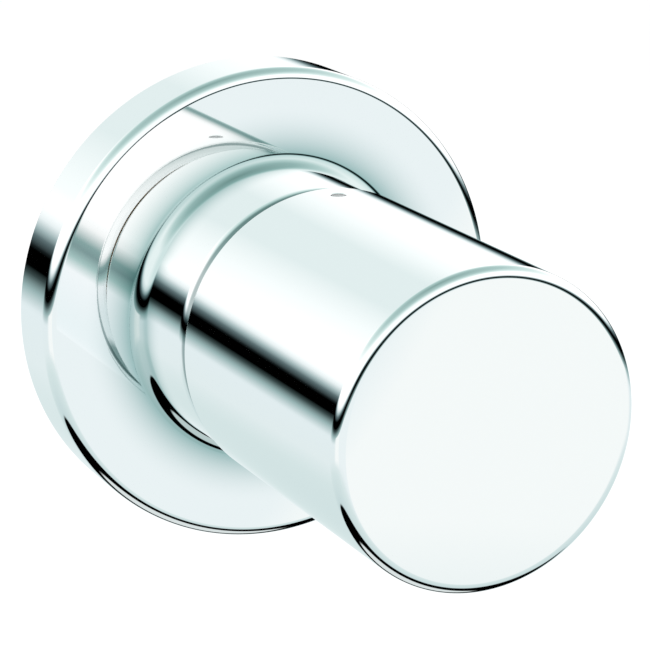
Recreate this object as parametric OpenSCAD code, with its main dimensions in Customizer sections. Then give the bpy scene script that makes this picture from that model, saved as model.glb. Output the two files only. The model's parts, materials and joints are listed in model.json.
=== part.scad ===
// Concealed valve trim: escutcheon with neck, and the turning handle in front of it.
// The origin is on the valve's axis, in the plane of the wall. The handle points along -Y, and +Z is up.
// Each piece is drawn with its axis along +Z, away from the wall, and with +Y as its top.
// trim_frame() then turns the whole piece into place.

/* [Escutcheon] */
// Diameter of the escutcheon's rim
escutcheon_d = 66; // [64:1:80]
// Distance from the wall to the flat face
escutcheon_depth = 10; // [9:0.5:14]
// Rounding between the rim and the face
escutcheon_edge_r = 1.5; // [0.5:0.1:2.5]
// Thickness of the rim's wall
rim_wall = 3; // [2.6:0.1:4]
// Thickness of the face
face_wall = 2; // [1.5:0.1:3]
// Width of the seal's groove in the rim's back face
seal_w = 1.2; // [0.8:0.1:1.4]
// Depth of the seal's groove
seal_depth = 1.2; // [0.8:0.1:2]

/* [Neck] */
// Diameter of the neck
neck_d = 39; // [38:0.5:42]
// Length of the neck in front of the face
neck_len = 15.2; // [14.6:0.2:20]
// Thickness of the neck's wall
neck_wall = 1.9; // [1.5:0.1:2.2]
// Thickness of the web across the neck's front end
neck_web = 3; // [2.8:0.1:4]
// Radius of the cove between the face and the neck
cove_r = 2; // [0.5:0.1:3]
// Rounding of the neck's front edge
neck_edge_r = 2.5; // [0.5:0.1:3]

/* [Handle] */
// Diameter of the handle
handle_d = 40; // [39.5:0.5:44]
// Length of the handle
handle_len = 44.1; // [42:0.1:60]
// Shadow gap between the neck and the handle
handle_gap = 0.7; // [0.5:0.1:1.2]
// Rounding of the handle's front edge
handle_edge_r = 1.2; // [0.4:0.1:2.5]
// Thickness of the handle's wall around the insert
handle_wall = 1.5; // [1.2:0.1:2]
// Thickness of the handle's front wall
handle_front_wall = 2.5; // [2:0.1:4]
// Height of the step that the insert stops against
handle_step = 0.5; // [0.3:0.1:1]
// Diameter of the screw's access hole and its plug
access_d = 2; // [1.8:0.1:2.6]
// Distance from the handle's back edge to the access hole
access_inset = 3.9; // [3.8:0.1:5]
// Depth of the plug below the handle's surface
plug_recess = 0.15; // [0.1:0.05:0.3]

/* [Fixing sleeve] */
// Bore of the valve thread, at its crests
thread_bore_d = 24.12; // [24:0.02:24.6]
// Length of the valve thread
thread_len = 11; // [9:0.5:11]
// Thickness of the sleeve's wall around the thread
thread_wall = 3.4; // [2.5:0.1:4]
// Relief in the bore in front of the thread, on the radius
relief = 1.1; // [0.8:0.1:1.6]
// Length of the sleeve's wider head, which carries the rings
head_len = 9; // [8.8:0.1:10]
// Length of the bearing bore in the sleeve's front end
bearing_len = 5; // [4:0.1:5.5]
// Clearance between the sleeve's head and the neck's bore
slide_gap = 0.2; // [0.1:0.05:0.3]
// Width of the four spanner notches
notch_w = 3.2; // [2:0.1:5]
// Depth of the spanner notches
notch_depth = 1.6; // [1:0.1:1.8]
// Thickness of the cord of the sleeve's sealing rings
sleeve_cord = 1.8; // [1.6:0.1:2]

/* [Bearing] */
// Diameter of the extension's journal
journal_d = 14; // [13.6:0.1:14.4]
// Running clearance of the journal, on the radius
running = 0.05; // [0.02:0.01:0.1]
// Thickness of the bush's wall
bush_wall = 3.4; // [3:0.1:4]
// Length of the bush behind its flange
bush_len = 6; // [5.6:0.1:6.2]
// Height of the bush's flange beyond its wall
flange_h = 1.5; // [1.2:0.1:1.6]
// Thickness of the bush's flange
flange_t = 2.2; // [2:0.1:2.3]
// End play on each side of the bush
end_play = 0.15; // [0.1:0.05:0.2]
// Thickness of the cord of the neck's sealing ring
neck_cord = 1.5; // [1.3:0.1:1.6]
// Thickness of the cord of the extension's ring
drag_cord = 1.5; // [1.3:0.1:1.7]
// Thickness of the thrust washer
thrust_t = 0.6; // [0.4:0.1:0.8]
// Thickness of the circlip
circlip_t = 0.8; // [0.6:0.1:1]
// Height of the wave washer over its waves
wave_h = 0.7; // [0.5:0.1:0.9]

/* [Spindle drive] */
// Number of teeth of the spline at the front
front_teeth = 24; // [18:1:30]
// Diameter over the teeth of the front spline
front_spline_d = 11; // [10.8:0.1:11.2]
// Number of teeth of the socket for the valve's spindle
socket_teeth = 20; // [16:1:24]
// Diameter over the teeth of the valve's spindle
socket_spline_d = 8; // [7.6:0.1:8.2]
// Height of the teeth
tooth_h = 0.45; // [0.3:0.05:0.5]
// Clearance between teeth
tooth_gap = 0.05; // [0.03:0.01:0.1]
// Plain lead-in at the socket's mouth
lead_in_len = 4; // [3:0.5:5]
// Diameter of the lead-in
lead_in_d = 8.5; // [8.4:0.1:8.8]
// Depth of the toothed part of the socket
socket_len = 8; // [6:0.5:9]
// Length of the journal between the grub screw and the front spline
clamp_land = 5.2; // [4:0.1:6]
// Diameter of the long screw
screw_d = 4; // [3.5:0.1:4]
// Diameter of the grub screw
grub_d = 3; // [2.5:0.5:3.5]
// Length of the grub screw
grub_len = 6; // [5:1:8]

/* [Handle insert] */
// Set-back of the insert from the handle's back edge
insert_inset = 1.1; // [0.9:0.1:1.2]
// Length of the insert's outer ring
insert_ring_len = 14; // [10:0.5:16]
// Thickness of the outer ring's wall
insert_ring_wall = 1.8; // [1.4:0.1:2.4]
// Thickness of the insert's back web
insert_web = 2.4; // [2:0.1:3]
// Thickness of the hub's wall
hub_wall = 3.4; // [3:0.1:4]
// Number of ribs between the hub and the ring
rib_n = 6; // [3:1:10]
// Thickness of the ribs
rib_t = 1.8; // [1.4:0.1:2.4]
// Length of the spline adapter
adapter_len = 9.5; // [8:0.5:10]
// Width of the adapter's key
key_w = 2.4; // [1.8:0.1:3]
// Height of the adapter's key
key_h = 1.2; // [0.8:0.1:1.6]
// Width of the glide ring
glide_w = 2.8; // [2:0.1:3.2]
// Depth of the glide ring's groove
glide_groove = 0.6; // [0.4:0.1:0.7]

/* [Hidden] */

$fn = 96;
// Overlap of a cut beyond the face that it opens
cut = 1;
// Clearance between pieces that are pressed or dropped into each other
seat = 0.05;
// Clearance between a piece that turns and the flat face beside it
glide_gap = 0.3;

// Escutcheon and neck
escutcheon_r = escutcheon_d / 2;
rim_inner_r = escutcheon_r - rim_wall;
face_z = escutcheon_depth;
face_back_z = face_z - face_wall;
seal_mid_r = escutcheon_r - rim_wall / 2;
seal_inner_r = seal_mid_r - seal_w / 2;
seal_outer_r = seal_mid_r + seal_w / 2;
neck_r = neck_d / 2;
neck_bore_r = neck_r - neck_wall;
neck_front_z = face_z + neck_len;
web_back_z = neck_front_z - neck_web;

// Bearing radii
journal_r = journal_d / 2;
bush_bore_r = journal_r + running;
bush_r = bush_bore_r + bush_wall;
flange_r = bush_r + flange_h;
web_gap = 0.3;
web_bore_r = flange_r + web_gap;
neck_groove_depth = 1.1;
neck_groove_r = web_bore_r + neck_groove_depth;
neck_groove_w = neck_cord + 2 * seat;
neck_groove_z = neck_front_z - neck_web / 2;

// Fixing sleeve
sleeve_front_z = web_back_z - slide_gap;
head_r = neck_bore_r - slide_gap;
head_back_z = sleeve_front_z - head_len;
thread_r = thread_bore_d / 2;
thread_outer_r = thread_r + thread_wall;
relief_r = thread_r + relief;
bearing_back_z = sleeve_front_z - bearing_len;
ring_groove_depth = 0.66 * sleeve_cord;
ring_groove_w = sleeve_cord + 0.6;
front_land = 0.4;
rear_land = 0.7;
front_ring_z = sleeve_front_z - notch_depth - front_land - ring_groove_w / 2;
rear_ring_z = head_back_z + rear_land + ring_groove_w / 2;

// Bush and what turns in it
bush_back_z = sleeve_front_z - bush_len;
flange_front_z = sleeve_front_z + flange_t;
thrust_z = bush_back_z - end_play - thrust_t;
thrust_gap = 0.15;
shoulder_front_z = thrust_z - seat;
shoulder_r = journal_r + 2;
thrust_r = shoulder_r + 0.5;
wave_z = flange_front_z + end_play;
wave_edge_gap = 0.3;
circlip_z = wave_z + wave_h + seat;
circlip_floor_r = journal_r - 0.6;
drag_groove_w = 2;
drag_groove_z = bush_back_z + bush_len / 2;
drag_floor_r = journal_r - 0.8 * drag_cord;

// Handle
handle_r = handle_d / 2;
handle_back_z = neck_front_z + handle_gap;
handle_front_z = handle_back_z + handle_len;
handle_bore_r = handle_r - handle_wall;
front_bore_r = handle_bore_r - handle_step;
cavity_front_z = handle_front_z - handle_front_wall;
cavity_edge_r = 1;
back_edge_r = 0.15;
access_z = handle_back_z + access_inset;

// Extension and its screw, from the mouth to the front end
extension_set_back = 2;
extension_back_z = thread_len + extension_set_back;
lead_in_front_z = extension_back_z + lead_in_len;
socket_front_z = lead_in_front_z + socket_len;
grub_bore_r = grub_d / 2;
spline_back_z = access_z + grub_bore_r + clamp_land;
hub_front_z = spline_back_z + adapter_len;
extension_front_z = hub_front_z + 0.5;
front_tip_r = front_spline_d / 2;
screw_r = screw_d / 2 - seat;
screw_hole_r = screw_r + 0.25;
screw_head_r = 3.5;
screw_head_h = 4;
screw_key = 3;
screw_head_z = extension_front_z - screw_head_h;
screw_tip_z = lead_in_front_z + 0.5;
spring_t = 1;
counterbore_r = screw_head_r + 0.3;
counterbore_z = screw_head_z - spring_t;

// Insert and grub screw
insert_back_z = handle_back_z + insert_inset;
insert_r = handle_bore_r - seat;
ring_inner_r = insert_r - insert_ring_wall;
ring_front_z = insert_back_z + insert_ring_len;
rib_front_z = ring_front_z - 2;
step_z = ring_front_z + seat;
hub_bore_r = journal_r + seat;
hub_r = hub_bore_r + hub_wall;
boss_r = grub_bore_r + 2.5;
glide_mid_r = (hub_r + ring_inner_r) / 2;
glide_inner_r = glide_mid_r - glide_w / 2;
glide_outer_r = glide_mid_r + glide_w / 2;
grub_seat_r = journal_r - 0.5;
grub_tip_r = grub_seat_r + seat;
grub_key = 1.5;
grub_key_depth = 1.8;

trim_chrome = [0.88, 0.90, 0.90];
brass = [0.82, 0.66, 0.34];
steel = [0.62, 0.63, 0.65];
black_rubber = [0.08, 0.08, 0.08];
grey_foam = [0.35, 0.36, 0.37];
white_plastic = [0.92, 0.91, 0.87];
grey_plastic = [0.64, 0.64, 0.65];

// Outline of a toothed shaft or hole, with flat tips and roots
function toothed(n, tip_r, root_r) =
    [for (i = [0:n - 1]) each
        [for (k = [[-0.34, root_r], [-0.14, tip_r], [0.14, tip_r], [0.34, root_r]])
            let (a = (i + k[0]) * 360 / n) [k[1] * cos(a), k[1] * sin(a)]]];

// Turns a piece from its drawing position into the trim's frame
module trim_frame() {
    rotate([90, 0, 0]) children();
}

// Plain ring between two radii
module ring(inner_r, outer_r, z, h) {
    translate([0, 0, z])
        difference() {
            cylinder(r = outer_r, h = h);
            translate([0, 0, -cut]) cylinder(r = inner_r, h = h + 2 * cut);
        }
}

// Sealing ring, squeezed flat between the floor of its groove and the wall that it seals
module squeezed_ring(inner_r, outer_r, z, cord) {
    mid_r = (inner_r + outer_r) / 2;
    half_w = (outer_r - inner_r) / 2;
    translate([0, 0, z])
        rotate_extrude()
            translate([mid_r, 0])
                intersection() {
                    circle(d = cord, $fn = 32);
                    square([2 * half_w, 2 * cord], center = true);
                }
}

// Hexagonal socket for a key, pointing to +Z from its floor at z = 0
module key_socket(key, depth) {
    cylinder(d = key / cos(30), h = depth + cut, $fn = 6);
}

// Socket head screw pointing to -Z, with the underside of its head at z = 0
module socket_screw(r, length, head_r, head_h, key) {
    chamfer = 0.3;
    difference() {
        union() {
            translate([0, 0, -length]) cylinder(r = r, h = length);
            rotate_extrude()
                polygon([[0, 0], [head_r, 0], [head_r, head_h - chamfer],
                         [head_r - chamfer, head_h], [0, head_h]]);
        }
        translate([0, 0, head_h / 2]) key_socket(key, head_h / 2);
    }
}

// Rectangle of a profile between two radii and two heights
module band(inner_r, outer_r, z, top_z) {
    translate([inner_r, z]) square([outer_r - inner_r, top_z - z]);
}

// What rounding takes off a profile's corner, with the solid below and to the left of the corner
module corner(x, y, r) {
    translate([x - r, y - r])
        difference() {
            square(r + cut);
            circle(r = r);
        }
}

// Filling of the inside corner between a wall on the left and a face below
module cove(x, y, r) {
    translate([x, y])
        difference() {
            translate([-cut / 2, -cut / 2]) square(r + cut / 2);
            translate([r, r]) circle(r = r);
        }
}

module escutcheon_profile() {
    difference() {
        union() {
            band(rim_inner_r, escutcheon_r, 0, face_z);
            band(neck_bore_r, escutcheon_r, face_back_z, face_z);
            band(neck_bore_r, neck_r, face_back_z, neck_front_z);
            band(web_bore_r, neck_r, web_back_z, neck_front_z);
            cove(neck_r, face_z, cove_r);
        }
        corner(escutcheon_r, face_z, escutcheon_edge_r);
        corner(neck_r, neck_front_z, neck_edge_r);
    }
}

module escutcheon() {
    color(trim_chrome)
        trim_frame()
            difference() {
                rotate_extrude($fn = 180) escutcheon_profile();
                ring(seal_inner_r, seal_outer_r, -cut, seal_depth + cut);
                ring(web_bore_r - cut, neck_groove_r, neck_groove_z - neck_groove_w / 2, neck_groove_w);
            }
}

module wall_seal() {
    color(grey_foam)
        trim_frame()
            ring(seal_inner_r + seat, seal_outer_r - seat, 0, seal_depth - seat);
}

module ring_groove(z) {
    ring(head_r - ring_groove_depth, head_r + cut, z - ring_groove_w / 2, ring_groove_w);
}

module fixing_sleeve() {
    color(brass)
        trim_frame()
            difference() {
                union() {
                    cylinder(r = thread_outer_r, h = head_back_z + cut);
                    translate([0, 0, head_back_z]) cylinder(r = head_r, h = head_len);
                }
                translate([0, 0, -cut]) cylinder(r = thread_r, h = thread_len + 2 * cut);
                translate([0, 0, thread_len]) cylinder(r = relief_r, h = bearing_back_z - thread_len);
                translate([0, 0, thread_len]) cylinder(r = bush_r + seat, h = sleeve_front_z);
                ring_groove(front_ring_z);
                ring_groove(rear_ring_z);
                for (i = [0:3])
                    rotate(45 + 90 * i)
                        translate([flange_r, -notch_w / 2, sleeve_front_z - notch_depth])
                            cube([head_r, notch_w, notch_depth + cut]);
            }
}

module sleeve_o_ring(z) {
    color(black_rubber)
        trim_frame()
            squeezed_ring(head_r - ring_groove_depth + seat / 2, neck_bore_r - seat / 2, z, sleeve_cord);
}

module sleeve_o_ring_rear() {
    sleeve_o_ring(rear_ring_z);
}

module sleeve_o_ring_front() {
    sleeve_o_ring(front_ring_z);
}

module neck_o_ring() {
    color(black_rubber)
        trim_frame()
            squeezed_ring(flange_r + seat / 2, neck_groove_r - seat / 2, neck_groove_z, neck_cord);
}

module guide_bush() {
    color(white_plastic)
        trim_frame()
            difference() {
                union() {
                    translate([0, 0, bush_back_z]) cylinder(r = bush_r, h = bush_len + flange_t);
                    translate([0, 0, sleeve_front_z]) cylinder(r = flange_r, h = flange_t);
                }
                translate([0, 0, bush_back_z - cut])
                    cylinder(r = bush_bore_r, h = bush_len + flange_t + 2 * cut);
            }
}

module spindle_extension() {
    color(brass)
        trim_frame()
            difference() {
                union() {
                    translate([0, 0, extension_back_z])
                        cylinder(r = shoulder_r, h = shoulder_front_z - extension_back_z);
                    translate([0, 0, extension_back_z])
                        cylinder(r = journal_r, h = spline_back_z - extension_back_z);
                    translate([0, 0, spline_back_z - cut])
                        linear_extrude(extension_front_z - spline_back_z + cut)
                            polygon(toothed(front_teeth, front_tip_r, front_tip_r - tooth_h));
                }
                translate([0, 0, extension_back_z - cut]) cylinder(d = lead_in_d, h = lead_in_len + cut);
                translate([0, 0, lead_in_front_z - cut])
                    linear_extrude(socket_len + cut)
                        polygon(toothed(socket_teeth, socket_spline_d / 2 - tooth_h + tooth_gap,
                                        socket_spline_d / 2 + tooth_gap));
                translate([0, 0, socket_front_z - cut])
                    cylinder(r = screw_hole_r, h = extension_front_z);
                translate([0, 0, counterbore_z]) cylinder(r = counterbore_r, h = extension_front_z);
                ring(drag_floor_r, journal_r + cut, drag_groove_z - drag_groove_w / 2, drag_groove_w);
                ring(circlip_floor_r, journal_r + cut, circlip_z - seat, circlip_t + 2 * seat);
                ring(grub_seat_r, journal_r + cut, access_z - grub_bore_r - seat, 2 * (grub_bore_r + seat));
            }
}

module thrust_washer() {
    color(white_plastic)
        trim_frame()
            ring(journal_r + thrust_gap, thrust_r, thrust_z, thrust_t);
}

module extension_o_ring() {
    color(black_rubber)
        trim_frame()
            squeezed_ring(drag_floor_r + seat / 2, journal_r, drag_groove_z, drag_cord);
}

// Thin spring ring that rises and falls three times in one turn
module wave_washer() {
    sides = 60;
    waves = 3;
    strip_t = 0.25;
    inner_r = journal_r + wave_edge_gap;
    outer_r = bush_r - wave_edge_gap;
    swing = (wave_h - strip_t) / 2;
    heights = [for (i = [0:sides - 1]) wave_z + swing * (1 + sin(waves * i * 360 / sides))];
    points = [for (i = [0:sides - 1]) let (a = i * 360 / sides) each
        [for (k = [[inner_r, 0], [outer_r, 0], [outer_r, strip_t], [inner_r, strip_t]])
            [k[0] * cos(a), k[0] * sin(a), heights[i] + k[1]]]];
    faces = [for (i = [0:sides - 1]) let (a = 4 * i, b = 4 * ((i + 1) % sides)) each
        [for (k = [0:3]) each
            [[a + k, b + (k + 1) % 4, b + k], [a + k, a + (k + 1) % 4, b + (k + 1) % 4]]]];
    color(steel)
        trim_frame()
            polyhedron(points, faces);
}

// Spring ring with a gap at the bottom, and an eye for the pliers on each side of the gap
module extension_circlip() {
    gap_angle = 40;
    eye_angle = gap_angle / 2 + 9;
    eye_r = 1.6;
    eye_hole_r = 0.6;
    outer_r = journal_r + 1.6;
    mid_r = outer_r - 0.3;
    inner_r = circlip_floor_r + seat;
    color(steel)
        trim_frame()
            translate([0, 0, circlip_z])
                difference() {
                    union() {
                        cylinder(r = outer_r, h = circlip_t);
                        for (side = [-1, 1])
                            rotate(side * eye_angle)
                                translate([0, -mid_r, 0]) cylinder(r = eye_r, h = circlip_t, $fn = 32);
                    }
                    translate([0, 0, -cut]) cylinder(r = inner_r, h = circlip_t + 2 * cut);
                    translate([0, 0, -cut])
                        linear_extrude(circlip_t + 2 * cut)
                            polygon([[0, 0], for (side = [-1, 1])
                                2 * outer_r * [side * sin(gap_angle / 2), -cos(gap_angle / 2)]]);
                    for (side = [-1, 1])
                        rotate(side * eye_angle)
                            translate([0, -mid_r, -cut])
                                cylinder(r = eye_hole_r, h = circlip_t + 2 * cut, $fn = 24);
                }
}

module extension_screw() {
    color(steel)
        trim_frame()
            translate([0, 0, screw_head_z])
                socket_screw(screw_r, screw_head_z - screw_tip_z, screw_head_r, screw_head_h, screw_key);
}

// Split lock washer, with a narrow slit
module spring_washer() {
    slit_w = 0.6;
    color(steel)
        trim_frame()
            difference() {
                ring(screw_r + 0.15, screw_head_r - 0.1, counterbore_z + seat, spring_t - 2 * seat);
                rotate(30)
                    translate([0, -slit_w / 2, counterbore_z - cut])
                        cube([2 * screw_head_r, slit_w, spring_t + 2 * cut]);
            }
}

module handle_profile() {
    difference() {
        band(0, handle_r, handle_back_z, handle_front_z);
        difference() {
            band(0, front_bore_r, handle_back_z - cut, cavity_front_z);
            corner(front_bore_r, cavity_front_z, cavity_edge_r);
        }
        band(0, handle_bore_r, handle_back_z - cut, step_z);
        corner(handle_r, handle_front_z, handle_edge_r);
        translate([0, handle_back_z]) mirror([0, 1]) corner(handle_r, 0, back_edge_r);
    }
}

// Hole that reaches from inside a piece out through its top, at the grub screw's place
module top_hole(r, from_r, to_r) {
    translate([0, from_r, access_z])
        rotate([-90, 0, 0]) cylinder(r = r, h = to_r - from_r, $fn = 48);
}

module handle_shell() {
    color(trim_chrome)
        trim_frame()
            difference() {
                rotate_extrude($fn = 180) handle_profile();
                top_hole(access_d / 2, front_bore_r - cut, handle_r + cut);
            }
}

module insert_ribs() {
    for (i = [0:rib_n - 1])
        rotate(90 + 180 / rib_n + i * 360 / rib_n)
            translate([hub_r - 0.5, -rib_t / 2, insert_back_z])
                cube([ring_inner_r - hub_r + 1, rib_t, rib_front_z - insert_back_z]);
}

module handle_insert() {
    color(brass)
        trim_frame()
            difference() {
                union() {
                    ring(ring_inner_r, insert_r, insert_back_z, insert_ring_len);
                    translate([0, 0, insert_back_z]) cylinder(r = ring_inner_r + seat, h = insert_web);
                    translate([0, 0, insert_back_z]) cylinder(r = hub_r, h = hub_front_z - insert_back_z);
                    insert_ribs();
                    intersection() {
                        top_hole(boss_r, hub_r - 1, insert_r - insert_ring_wall / 2);
                        translate([0, 0, insert_back_z]) cylinder(r = insert_r, h = insert_ring_len);
                    }
                }
                translate([0, 0, insert_back_z - cut])
                    cylinder(r = hub_bore_r, h = hub_front_z - insert_back_z + 2 * cut);
                top_hole(grub_bore_r, 0, insert_r + cut);
                ring(glide_inner_r, glide_outer_r, insert_back_z - cut, glide_groove + cut);
                translate([-key_w / 2 - seat, -hub_bore_r - key_h - seat, spline_back_z])
                    cube([key_w + 2 * seat, hub_bore_r, adapter_len + cut]);
            }
}

module spline_adapter() {
    adapter_r = hub_bore_r - seat;
    color(white_plastic)
        trim_frame()
            translate([0, 0, spline_back_z + seat])
                difference() {
                    union() {
                        cylinder(r = adapter_r, h = adapter_len - seat);
                        translate([-key_w / 2, -adapter_r - key_h, 0])
                            cube([key_w, adapter_r, adapter_len - seat]);
                    }
                    translate([0, 0, -cut])
                        linear_extrude(adapter_len + 2 * cut)
                            polygon(toothed(front_teeth, front_tip_r + tooth_gap,
                                            front_tip_r - tooth_h + tooth_gap));
                }
}

module grub_screw() {
    color(steel)
        trim_frame()
            difference() {
                top_hole(grub_bore_r - seat, grub_tip_r, grub_tip_r + grub_len);
                translate([0, grub_tip_r + grub_len - grub_key_depth, access_z])
                    rotate([-90, 0, 0]) key_socket(grub_key, grub_key_depth);
            }
}

module screw_hole_plug() {
    color(grey_plastic)
        trim_frame()
            top_hole(access_d / 2 - seat / 2, handle_bore_r + 0.1, handle_r - plug_recess);
}

module glide_ring() {
    floor_z = insert_back_z + glide_groove - seat;
    back_z = neck_front_z + glide_gap;
    color(white_plastic)
        trim_frame()
            ring(glide_inner_r + seat, glide_outer_r - seat, back_z, floor_z - back_z);
}

escutcheon();
wall_seal();
fixing_sleeve();
sleeve_o_ring_rear();
sleeve_o_ring_front();
neck_o_ring();
guide_bush();
spindle_extension();
thrust_washer();
extension_o_ring();
wave_washer();
extension_circlip();
extension_screw();
spring_washer();
handle_shell();
handle_insert();
spline_adapter();
grub_screw();
screw_hole_plug();
glide_ring();
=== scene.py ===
"""Looks of a concealed valve trim, and the studio that it is pictured in.

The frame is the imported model's own: metres, with the wall in the plane y = 0, the handle along -Y
and +Z up. Distances named h are measured from the wall towards the handle's front, along -Y.
"""

import json
import logging
import math
from collections.abc import Iterable, Sequence
from dataclasses import dataclass
from enum import Enum, IntEnum
from functools import cached_property

import bmesh
import bpy
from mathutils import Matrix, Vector

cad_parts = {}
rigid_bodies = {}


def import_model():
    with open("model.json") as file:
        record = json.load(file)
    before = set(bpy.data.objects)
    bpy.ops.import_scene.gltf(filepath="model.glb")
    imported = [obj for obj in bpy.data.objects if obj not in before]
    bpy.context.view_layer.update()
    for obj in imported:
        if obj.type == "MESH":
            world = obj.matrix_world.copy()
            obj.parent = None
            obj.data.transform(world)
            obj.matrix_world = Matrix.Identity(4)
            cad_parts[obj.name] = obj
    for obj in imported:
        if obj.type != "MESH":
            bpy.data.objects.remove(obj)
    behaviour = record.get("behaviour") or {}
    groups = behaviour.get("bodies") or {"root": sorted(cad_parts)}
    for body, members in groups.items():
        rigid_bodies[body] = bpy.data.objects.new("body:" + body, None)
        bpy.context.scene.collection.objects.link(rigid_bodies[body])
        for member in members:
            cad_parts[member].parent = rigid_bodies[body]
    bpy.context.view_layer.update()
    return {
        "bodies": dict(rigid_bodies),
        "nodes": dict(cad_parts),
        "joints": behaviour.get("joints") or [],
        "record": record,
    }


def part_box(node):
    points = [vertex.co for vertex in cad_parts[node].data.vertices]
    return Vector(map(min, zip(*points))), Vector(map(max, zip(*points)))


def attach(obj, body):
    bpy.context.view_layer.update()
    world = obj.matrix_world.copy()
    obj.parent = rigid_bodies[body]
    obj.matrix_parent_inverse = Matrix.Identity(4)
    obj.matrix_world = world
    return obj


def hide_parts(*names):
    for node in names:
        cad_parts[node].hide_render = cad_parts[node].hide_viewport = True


LOG = logging.getLogger("valve_trim")
MM = 0.001
TOUCH = 1e-6 * MM          # lengths below this count as none
MERGE = 0.0005 * MM        # points nearer than this become one
CLOUD_RANGE = (0.3, 0.7)   # where most values of a noise texture lie
RISING = (0.0, 1.0)
FADING = (1.0, 0.0)

# numbers of a mix node's sockets for colours, whose names it shares with its other kinds
MIX_FACTOR, MIX_FIRST, MIX_SECOND, MIX_RESULT = 0, 6, 7, 2

Color = tuple[float, float, float]
Span = tuple[float, float]
Socket = bpy.types.NodeSocket


class Body(str, Enum):
    """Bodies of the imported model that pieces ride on."""

    ESCUTCHEON = "escutcheon_set"
    HANDLE = "handle_set"


class Plating(Enum):
    """Ways in which chrome plate is finished."""

    MIRROR = "mirror"
    SATIN = "satin"


class Side(IntEnum):
    """Material slots of a plated piece."""

    SEEN = 0
    HIDDEN = 1


def rgba(color: Color) -> tuple[float, float, float, float]:
    """Returns a colour with full alpha."""
    return (*color, 1.0)


def linked(name: str, data: bpy.types.ID) -> bpy.types.Object:
    """Makes an object and links it to the scene.

    Args:
        name: The object's name.
        data: Its mesh, camera or light.

    Returns:
        The object.
    """
    made = bpy.data.objects.new(name, data)
    bpy.context.scene.collection.objects.link(made)
    return made


class NodeGraph:
    """Node tree of a material or a world, with short calls for its nodes."""

    def __init__(self, tree: bpy.types.NodeTree) -> None:
        """Empties the tree.

        Args:
            tree: The tree to build in.
        """
        self.tree = tree
        tree.nodes.clear()

    def feed(self, target: Socket, value: object) -> None:
        """Links a socket to an input, or sets the input to a plain value.

        Args:
            target: The input.
            value: The socket or the value.
        """
        if isinstance(value, Socket):
            self.tree.links.new(value, target)
        else:
            target.default_value = value

    def add(self, kind: str, inputs: dict[str | int, object] | None = None,
            **settings: object) -> bpy.types.Node:
        """Adds a node.

        Args:
            kind: The node's type.
            inputs: Values or sockets for its inputs, by name or number.
            **settings: The node's own properties.

        Returns:
            The new node.
        """
        node = self.tree.nodes.new(kind)
        for name, value in settings.items():
            setattr(node, name, value)
        for key, value in (inputs or {}).items():
            self.feed(node.inputs[key], value)
        return node

    def math(self, operation: str, *values: float | Socket) -> Socket:
        """Adds a math node on values or sockets, and returns its result."""
        return self.add("ShaderNodeMath", dict(enumerate(values)), operation=operation).outputs[0]

    def spread(self, value: Socket, source: Span, target: Span = RISING) -> Socket:
        """Maps a value from one range to another, held at the ends.

        Args:
            value: The socket to map.
            source: Its range.
            target: The range that it is mapped to.

        Returns:
            The mapped value's socket.
        """
        inputs = {"Value": value, "From Min": source[0], "From Max": source[1],
                  "To Min": target[0], "To Max": target[1]}
        return self.add("ShaderNodeMapRange", inputs, clamp=True).outputs["Result"]

    def mix(self, factor: float | Socket, first: object, second: object, blend: str = "MIX") -> Socket:
        """Mixes two colours.

        Args:
            factor: The second colour's share.
            first: A colour with alpha, or its socket.
            second: Another.
            blend: The way of blending.

        Returns:
            The mixed colour's socket.
        """
        inputs = {MIX_FACTOR: factor, MIX_FIRST: first, MIX_SECOND: second}
        node = self.add("ShaderNodeMix", inputs, data_type="RGBA", blend_type=blend)
        return node.outputs[MIX_RESULT]

    def ramp(self, factor: Socket, stops: Sequence[tuple[float, Color]]) -> Socket:
        """Adds a colour ramp.

        Args:
            factor: Where on the ramp to read, from 0 to 1.
            stops: Places and colours along the ramp, in order.

        Returns:
            The colour's socket.
        """
        node = self.add("ShaderNodeValToRGB", {"Fac": factor})
        elements = node.color_ramp.elements
        while len(elements) < len(stops):
            elements.new(1.0)
        for element, (place, color) in zip(elements, stops):
            element.position = place
            element.color = rgba(color)
        return node.outputs["Color"]


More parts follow.
